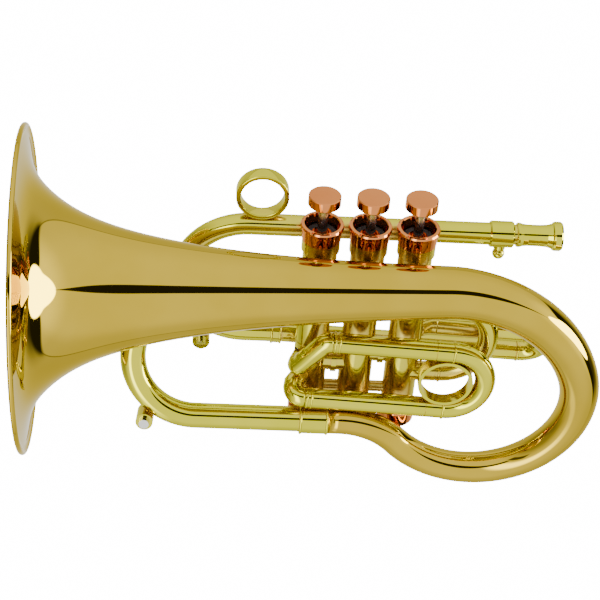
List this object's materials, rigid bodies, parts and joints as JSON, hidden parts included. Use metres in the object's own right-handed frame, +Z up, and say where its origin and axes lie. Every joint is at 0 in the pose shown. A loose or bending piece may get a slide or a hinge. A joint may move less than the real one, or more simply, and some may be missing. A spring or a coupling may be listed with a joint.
{
  "type": "cornet",
  "caption": "Compact brass horn with piston valves and spring-loaded buttons, a bell on a shepherd's-crook tail, sliding tuning bows and a clamped mouthpiece receiver.",
  "frame": {"origin": "centre of the mouthpiece receiver's mouth, on its axis", "axes": "+X out of the receiver's mouth towards the player, away from the bell; +Z up along the valves towards the finger buttons; +Y away from the bell's side"},
  "size_m": [0.3337, 0.1819, 0.2318],
  "materials": {
    "gold_brass": "polished and clear lacquered",
    "yellow_brass": "polished and clear lacquered",
    "copper": "polished rose brass",
    "nickel": "polished nickel",
    "steel": "drawn steel",
    "felt": "dense felt"
  },
  "bodies": {
    "horn": {"valve_casing_1": "yellow_brass", "valve_casing_2": "yellow_brass", "valve_casing_3": "yellow_brass", "top_cap_1": "copper", "top_cap_2": "copper", "top_cap_3": "copper", "bottom_caps": "copper", "cap_felts": "felt", "valve_spring_1": "steel", "valve_spring_2": "steel", "valve_spring_3": "steel", "crossover_knuckles": "yellow_brass", "bell": "gold_brass", "rim_wire": "steel", "bell_crook": "gold_brass", "tail_ferrule": "yellow_brass", "front_bow": "yellow_brass", "bell_branch": "yellow_brass", "leadpipe": "yellow_brass", "receiver_collar": "yellow_brass", "leadpipe_bow": "yellow_brass", "leadpipe_ferrules": "yellow_brass", "pinky_ring": "yellow_brass", "main_lower_sleeve": "yellow_brass", "main_upper_sleeve": "yellow_brass", "main_slide_elbow": "yellow_brass", "third_slide_sleeves": "yellow_brass", "third_slide_elbows": "yellow_brass", "first_slide_sleeves": "yellow_brass", "second_slide_sleeves": "yellow_brass", "water_key_bodies": "yellow_brass", "bow_water_spring": "steel", "lead_water_spring": "steel", "braces": "yellow_brass"},
    "valve_1": {"piston_1": "nickel", "valve_stem_1": "steel", "finger_button_1": "copper", "piston_felt_1": "felt"},
    "valve_2": {"piston_2": "nickel", "valve_stem_2": "steel", "finger_button_2": "copper", "piston_felt_2": "felt"},
    "valve_3": {"piston_3": "nickel", "valve_stem_3": "steel", "finger_button_3": "copper", "piston_felt_3": "felt"},
    "third_slide": {"third_slide_legs": "yellow_brass", "third_slide_bow": "yellow_brass", "third_slide_ring": "yellow_brass"},
    "first_slide": {"first_slide_legs": "yellow_brass", "first_slide_bow": "yellow_brass"},
    "second_slide": {"second_slide_legs": "yellow_brass", "second_slide_bow": "yellow_brass"},
    "main_slide": {"main_slide_legs": "yellow_brass", "main_slide_bow": "yellow_brass"},
    "receiver": {"mouthpiece_receiver": "yellow_brass"},
    "clamp_screw": {"clamp_screw": "yellow_brass"},
    "bow_water_button": {"bow_water_plunger": "nickel"},
    "lead_water_button": {"lead_water_plunger": "nickel"}
  },
  "joints": [
    {"name": "valve_1_press", "type": "slide", "parent": "horn", "child": "valve_1", "axis": [0, 0, -1], "range_m": [0, 0.015], "stiffness_N_per_m": 250, "springref_m": -0.012, "deforming": ["valve_spring_1"]},
    {"name": "valve_2_press", "type": "slide", "parent": "horn", "child": "valve_2", "axis": [0, 0, -1], "range_m": [0, 0.015], "stiffness_N_per_m": 250, "springref_m": -0.012, "deforming": ["valve_spring_2"]},
    {"name": "valve_3_press", "type": "slide", "parent": "horn", "child": "valve_3", "axis": [0, 0, -1], "range_m": [0, 0.015], "stiffness_N_per_m": 250, "springref_m": -0.012, "deforming": ["valve_spring_3"]},
    {"name": "third_slide_pull", "type": "slide", "parent": "horn", "child": "third_slide", "axis": [0.9985, 0, -0.0541], "range_m": [0, 0.025]},
    {"name": "first_slide_pull", "type": "slide", "parent": "horn", "child": "first_slide", "axis": [1, 0, 0], "range_m": [0, 0.006]},
    {"name": "second_slide_pull", "type": "slide", "parent": "horn", "child": "second_slide", "axis": [0, 1, 0], "range_m": [0, 0.01]},
    {"name": "main_slide_pull", "type": "slide", "parent": "horn", "child": "main_slide", "axis": [0.9985, 0, -0.0541], "range_m": [0, 0.025]},
    {"name": "receiver_slide", "type": "slide", "parent": "horn", "child": "receiver", "axis": [1, 0, 0], "range_m": [-0.0013, 0.018]},
    {"name": "clamp_screw_turn", "type": "hinge", "parent": "horn", "child": "clamp_screw", "pos_m": [-0.03505, 0, -0.01], "axis": [0, 0, 1], "range_deg": [0, 360]},
    {"name": "bow_water_key_press", "type": "slide", "parent": "horn", "child": "bow_water_button", "axis": [0.0536, 0.9729, -0.2249], "range_m": [0, 0.0025], "stiffness_N_per_m": 300, "springref_m": -0.003},
    {"name": "lead_water_key_press", "type": "slide", "parent": "horn", "child": "lead_water_button", "axis": [0, 1, 0], "range_m": [0, 0.0025], "stiffness_N_per_m": 300, "springref_m": -0.003}
  ]
}
